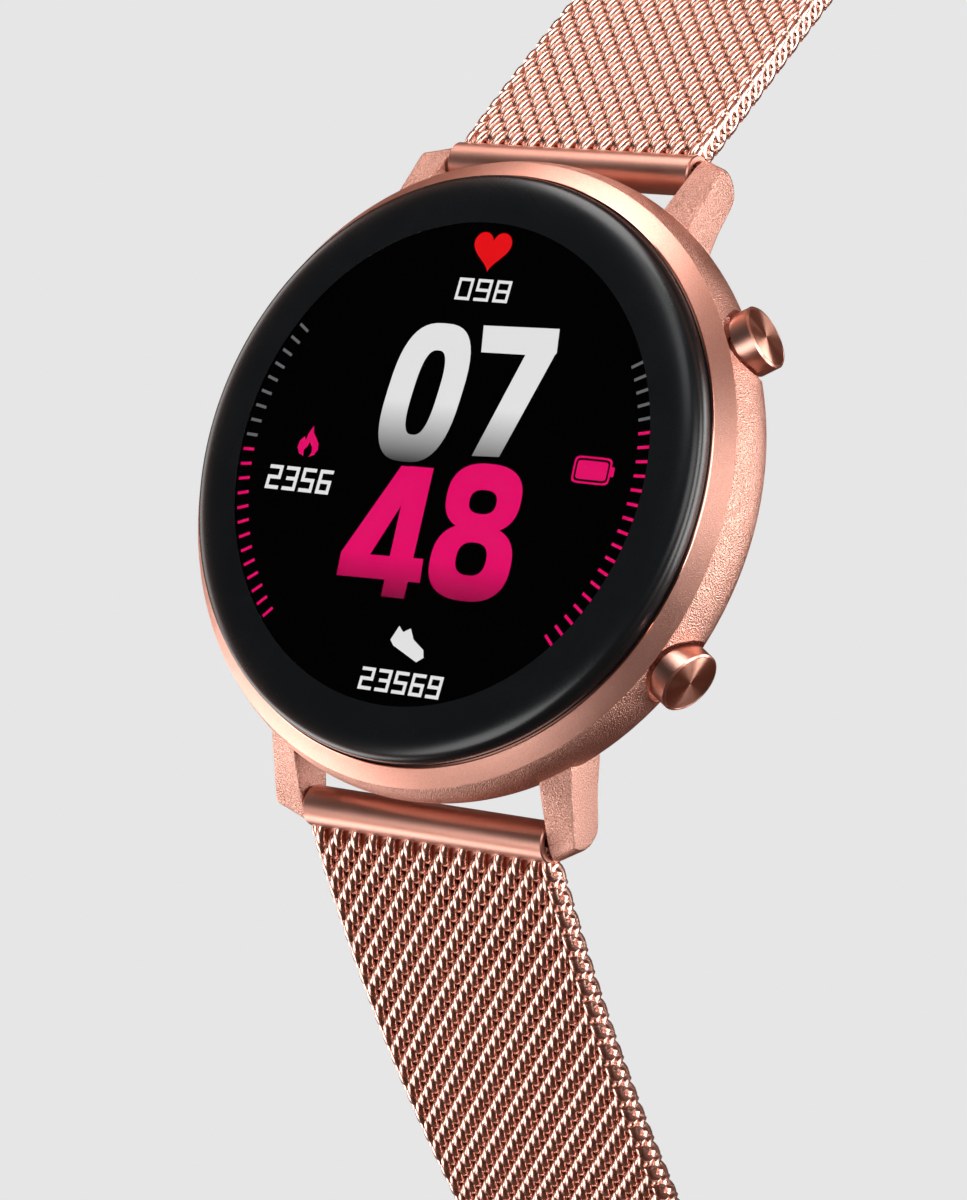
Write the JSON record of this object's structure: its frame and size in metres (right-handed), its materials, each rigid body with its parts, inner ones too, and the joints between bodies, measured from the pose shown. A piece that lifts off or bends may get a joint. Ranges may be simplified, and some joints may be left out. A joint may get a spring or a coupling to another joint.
{
  "type": "smartwatch",
  "caption": "Round smartwatch with a glossy black bezel, two side push buttons and a woven steel mesh band with a sliding fold-over clasp.",
  "frame": {"origin": "centre of the flat sensor window on the back of the case", "axes": "+Z out of the display, +X to three o'clock where the buttons are, +Y to twelve o'clock"},
  "size_m": [0.0434, 0.1418, 0.1128],
  "materials": {
    "rose_blasted": "fine bead-blasted rose gold plating, matt with a soft grain",
    "rose_satin": "satin rose gold plating, polished on its narrow edges",
    "rose_mesh": "bright rose gold plated steel wire, woven mesh",
    "black_gloss": "glossy black ceramic look with soft broad highlights",
    "cover_glass": "clear hardened glass, flat, over a black display",
    "display": null,
    "sensor_glass": "glossy dark window over the pulse sensor",
    "steel": "fine satin steel",
    "gold": "gold plated contact",
    "rubber": "matt black seal",
    "black_plastic": "matt black moulded plastic",
    "circuit_board": "green solder mask with dark chips",
    "battery_foil": "silver pouch foil"
  },
  "bodies": {
    "case": {"mid_case": "rose_blasted", "bezel_frame": "rose_satin", "bezel_ring": "black_gloss", "cover_glass": "cover_glass", "display_panel": "display", "display_carrier": "black_plastic", "main_board": "circuit_board", "battery": "battery_foil", "vibration_motor": "steel", "upper_switch": "black_plastic", "lower_switch": "black_plastic", "upper_button_sleeve": "steel", "lower_button_sleeve": "steel", "case_back": "steel", "case_gasket": "rubber", "sensor_window": "sensor_glass", "sensor_board": "circuit_board", "charge_contact_left": "gold", "charge_contact_right": "gold", "back_screw_1": "steel", "back_screw_2": "steel", "back_screw_3": "steel", "back_screw_4": "steel"},
    "upper_push_button": {"upper_button": "rose_satin", "upper_button_clip": "steel"},
    "lower_push_button": {"lower_button": "rose_satin", "lower_button_clip": "steel"},
    "upper_strap_end": {"upper_end_tube": "rose_satin", "upper_spring_bar": "steel", "upper_bar_pin_left": "steel"},
    "upper_release_pin": {"upper_bar_pin_right": "steel"},
    "upper_band_1": {"upper_mesh_1": "rose_mesh"},
    "upper_band_2": {"upper_mesh_2": "rose_mesh"},
    "upper_band_3": {"upper_mesh_3": "rose_mesh"},
    "upper_band_4": {"upper_mesh_4": "rose_mesh"},
    "upper_band_5": {"upper_mesh_5": "rose_mesh", "upper_end_loop": "rose_satin"},
    "lower_strap_end": {"lower_end_tube": "rose_satin", "lower_spring_bar": "steel", "lower_bar_pin_left": "steel"},
    "lower_release_pin": {"lower_bar_pin_right": "steel"},
    "lower_band_1": {"lower_mesh_1": "rose_mesh"},
    "lower_band_2": {"lower_mesh_2": "rose_mesh"},
    "lower_band_3": {"lower_mesh_3": "rose_mesh"},
    "lower_band_4": {"lower_mesh_4": "rose_mesh"},
    "lower_band_5": {"lower_mesh_5": "rose_mesh"},
    "lower_band_6": {"lower_mesh_6": "rose_mesh"},
    "lower_band_7": {"lower_mesh_7": "rose_mesh", "lower_end_cap": "rose_satin"},
    "clasp": {"clasp_body": "rose_satin", "clasp_cover_pin": "steel", "clasp_flap_pin": "steel"},
    "clasp_cover_leaf": {"clasp_cover": "rose_satin"},
    "clasp_flap_leaf": {"clasp_flap": "rose_satin"}
  },
  "joints": [
    {"name": "upper_button_press", "type": "slide", "parent": "case", "child": "upper_push_button", "axis": [-0.8686, -0.4955, 0], "range_m": [0, 0.0005], "stiffness_N_per_m": 400, "springref_m": -0.002},
    {"name": "lower_button_press", "type": "slide", "parent": "case", "child": "lower_push_button", "axis": [-0.8634, 0.5045, 0], "range_m": [0, 0.0005], "stiffness_N_per_m": 400, "springref_m": -0.002},
    {"name": "upper_strap_swing", "type": "hinge", "parent": "case", "child": "upper_strap_end", "pos_m": [0, 0.02256, 0.00385], "axis": [-1, 0, 0], "range_deg": [-50, 30]},
    {"name": "upper_pin_release", "type": "slide", "parent": "upper_strap_end", "child": "upper_release_pin", "axis": [-1, 0, 0], "range_m": [0, 0.0013], "stiffness_N_per_m": 400, "springref_m": -0.001},
    {"name": "upper_band_flex_1", "type": "hinge", "parent": "upper_strap_end", "child": "upper_band_1", "pos_m": [0, 0.02499, 0.00226], "axis": [-1, 0, 0], "range_deg": [-8, 7]},
    {"name": "upper_band_flex_2", "type": "hinge", "parent": "upper_band_1", "child": "upper_band_2", "pos_m": [0, 0.03618, -0.00528], "axis": [-1, 0, 0], "range_deg": [-8, 7]},
    {"name": "upper_band_flex_3", "type": "hinge", "parent": "upper_band_2", "child": "upper_band_3", "pos_m": [0, 0.04688, -0.01365], "axis": [-1, 0, 0], "range_deg": [-8, 7]},
    {"name": "upper_band_flex_4", "type": "hinge", "parent": "upper_band_3", "child": "upper_band_4", "pos_m": [0, 0.05568, -0.02386], "axis": [-1, 0, 0], "range_deg": [-8, 7]},
    {"name": "upper_band_flex_5", "type": "hinge", "parent": "upper_band_4", "child": "upper_band_5", "pos_m": [0, 0.06227, -0.03562], "axis": [-1, 0, 0], "range_deg": [-8, 7]},
    {"name": "lower_strap_swing", "type": "hinge", "parent": "case", "child": "lower_strap_end", "pos_m": [0, -0.02256, 0.00385], "axis": [1, 0, 0], "range_deg": [-45, 15]},
    {"name": "lower_pin_release", "type": "slide", "parent": "lower_strap_end", "child": "lower_release_pin", "axis": [-1, 0, 0], "range_m": [0, 0.0013], "stiffness_N_per_m": 400, "springref_m": -0.001},
    {"name": "lower_band_flex_1", "type": "hinge", "parent": "lower_strap_end", "child": "lower_band_1", "pos_m": [0, -0.0247, 0.00175], "axis": [1, 0, 0], "range_deg": [-7, 5]},
    {"name": "lower_band_flex_2", "type": "hinge", "parent": "lower_band_1", "child": "lower_band_2", "pos_m": [0, -0.03355, -0.00777], "axis": [1, 0, 0], "range_deg": [-7, 5]},
    {"name": "lower_band_flex_3", "type": "hinge", "parent": "lower_band_2", "child": "lower_band_3", "pos_m": [0, -0.04167, -0.01792], "axis": [1, 0, 0], "range_deg": [-7, 5]},
    {"name": "lower_band_flex_4", "type": "hinge", "parent": "lower_band_3", "child": "lower_band_4", "pos_m": [0, -0.04902, -0.02864], "axis": [1, 0, 0], "range_deg": [-7, 5]},
    {"name": "lower_band_flex_5", "type": "hinge", "parent": "lower_band_4", "child": "lower_band_5", "pos_m": [0, -0.05602, -0.04076], "axis": [1, 0, 0], "range_deg": [-7, 5]},
    {"name": "lower_band_flex_6", "type": "hinge", "parent": "lower_band_5", "child": "lower_band_6", "pos_m": [0, -0.06174, -0.05352], "axis": [1, 0, 0], "range_deg": [-7, 5]},
    {"name": "lower_band_flex_7", "type": "hinge", "parent": "lower_band_6", "child": "lower_band_7", "pos_m": [0, -0.06556, -0.06903], "axis": [1, 0, 0], "range_deg": [-7, 5]},
    {"name": "clasp_slide", "type": "slide", "parent": "lower_band_7", "child": "clasp", "axis": [0, -0.1433, -0.9897], "range_m": [-0.004, 0.004]},
    {"name": "clasp_cover_open", "type": "hinge", "parent": "clasp", "child": "clasp_cover_leaf", "pos_m": [0, -0.07106, -0.08643], "axis": [1, 0, 0], "range_deg": [0, 110]},
    {"name": "clasp_flap_open", "type": "hinge", "parent": "clasp", "child": "clasp_flap_leaf", "pos_m": [0, -0.07192, -0.09236], "axis": [1, 0, 0], "range_deg": [0, 60]}
  ],
  "couplings": [
    {"joint": "upper_band_flex_2", "follows": "upper_band_flex_1", "ratio": 1},
    {"joint": "upper_band_flex_3", "follows": "upper_band_flex_1", "ratio": 1},
    {"joint": "upper_band_flex_4", "follows": "upper_band_flex_1", "ratio": 1},
    {"joint": "upper_band_flex_5", "follows": "upper_band_flex_1", "ratio": 1},
    {"joint": "lower_band_flex_2", "follows": "lower_band_flex_1", "ratio": 1},
    {"joint": "lower_band_flex_3", "follows": "lower_band_flex_1", "ratio": 1},
    {"joint": "lower_band_flex_4", "follows": "lower_band_flex_1", "ratio": 1},
    {"joint": "lower_band_flex_5", "follows": "lower_band_flex_1", "ratio": 1},
    {"joint": "lower_band_flex_6", "follows": "lower_band_flex_1", "ratio": 1},
    {"joint": "lower_band_flex_7", "follows": "lower_band_flex_1", "ratio": 1}
  ]
}
